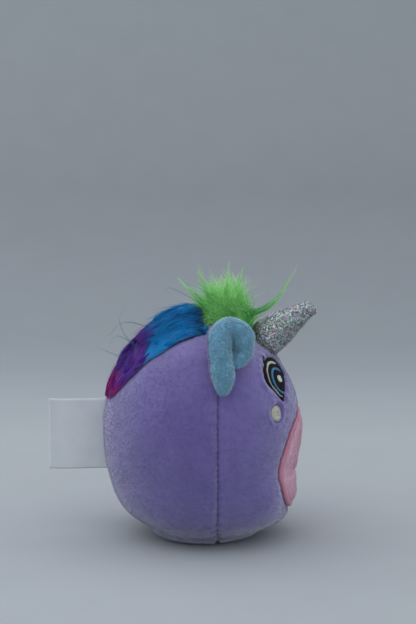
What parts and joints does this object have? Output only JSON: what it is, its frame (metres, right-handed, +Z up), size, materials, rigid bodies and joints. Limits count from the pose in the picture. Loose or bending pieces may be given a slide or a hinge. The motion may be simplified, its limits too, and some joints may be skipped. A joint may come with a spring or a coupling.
{
  "type": "plush unicorn ball",
  "caption": "Ball-shaped squeezable plush unicorn with a stuffed glitter horn, rolled ears, embroidered face, long-pile mane and a folded blank label.",
  "frame": {"origin": "centre of the flat spot the toy rests on", "axes": "-Y is the way the face looks, +Z is up and -X is the toy's own right side"},
  "size_m": [0.0834, 0.1088, 0.1083],
  "materials": {
    "foam": "matte",
    "velour_lilac": "matte",
    "fleece_white": "matte",
    "thread_purple": "satin",
    "velour_pink": "matte",
    "thread_pink": "satin",
    "thread_plum": "satin",
    "thread_black": "satin",
    "thread_cream": "satin",
    "thread_teal": "satin",
    "thread_white": "satin",
    "plush_blue": "matte",
    "glitter_cloth": "satin",
    "fibre_fill": "matte",
    "thread_silver": "satin",
    "knit_green": "matte",
    "pile_green": "matte",
    "knit_blue": "matte",
    "pile_blue": "matte",
    "pile_purple": "matte",
    "pile_magenta": "matte",
    "ribbon_white": "satin"
  },
  "bodies": {
    "ball": {"foam_core": "foam", "face_panel": "velour_lilac", "back_panel_right": "velour_lilac", "back_panel_left": "velour_lilac", "embroidery_backing": "fleece_white", "side_seam_thread": "thread_purple", "back_seam_thread": "thread_purple", "closing_stitches": "thread_purple", "snout_patch": "velour_pink", "snout_border_stitch": "thread_pink", "mouth_stitch": "thread_plum", "right_eye_black": "thread_black", "right_eye_white": "thread_cream", "right_eye_blue": "thread_teal", "right_eye_highlight": "thread_white", "right_cheek_spot": "thread_cream", "left_eye_black": "thread_black", "left_eye_white": "thread_cream", "left_eye_blue": "thread_teal", "left_eye_highlight": "thread_white", "left_cheek_spot": "thread_cream", "right_ear_tack": "thread_purple", "left_ear_tack": "thread_purple", "horn_base_stitch": "thread_silver", "forelock_backing": "knit_green", "forelock_pile": "pile_green", "mane_backing": "knit_blue", "mane_pile_blue": "pile_blue", "mane_pile_purple": "pile_purple", "mane_pile_magenta": "pile_magenta", "label_stitch": "thread_white"},
    "right_ear": {"right_ear_lining": "plush_blue", "right_ear_back": "velour_lilac"},
    "left_ear": {"left_ear_lining": "plush_blue", "left_ear_back": "velour_lilac"},
    "horn": {"horn_cover": "glitter_cloth", "horn_stuffing": "fibre_fill"},
    "label": {"care_label": "ribbon_white"}
  },
  "joints": [
    {"name": "right_ear_flop", "type": "hinge", "parent": "ball", "child": "right_ear", "pos_m": [-0.0393, -0.0088, 0.0652], "axis": [0.2833, -0.9554, -0.0837], "range_deg": [0, 35], "stiffness_Nm_per_rad": 0.0004},
    {"name": "left_ear_flop", "type": "hinge", "parent": "ball", "child": "left_ear", "pos_m": [0.0393, -0.0088, 0.0652], "axis": [0.2833, 0.9554, 0.0837], "range_deg": [0, 35], "stiffness_Nm_per_rad": 0.0004},
    {"name": "horn_tilt", "type": "hinge", "parent": "ball", "child": "horn", "pos_m": [0, -0.027, 0.08], "axis": [1, 0, 0], "range_deg": [-12, 12], "stiffness_Nm_per_rad": 0.006},
    {"name": "label_swing", "type": "hinge", "parent": "ball", "child": "label", "pos_m": [0, 0.0413, 0.041], "axis": [0, 0, 1], "range_deg": [-60, 60], "stiffness_Nm_per_rad": 0.00005}
  ]
}
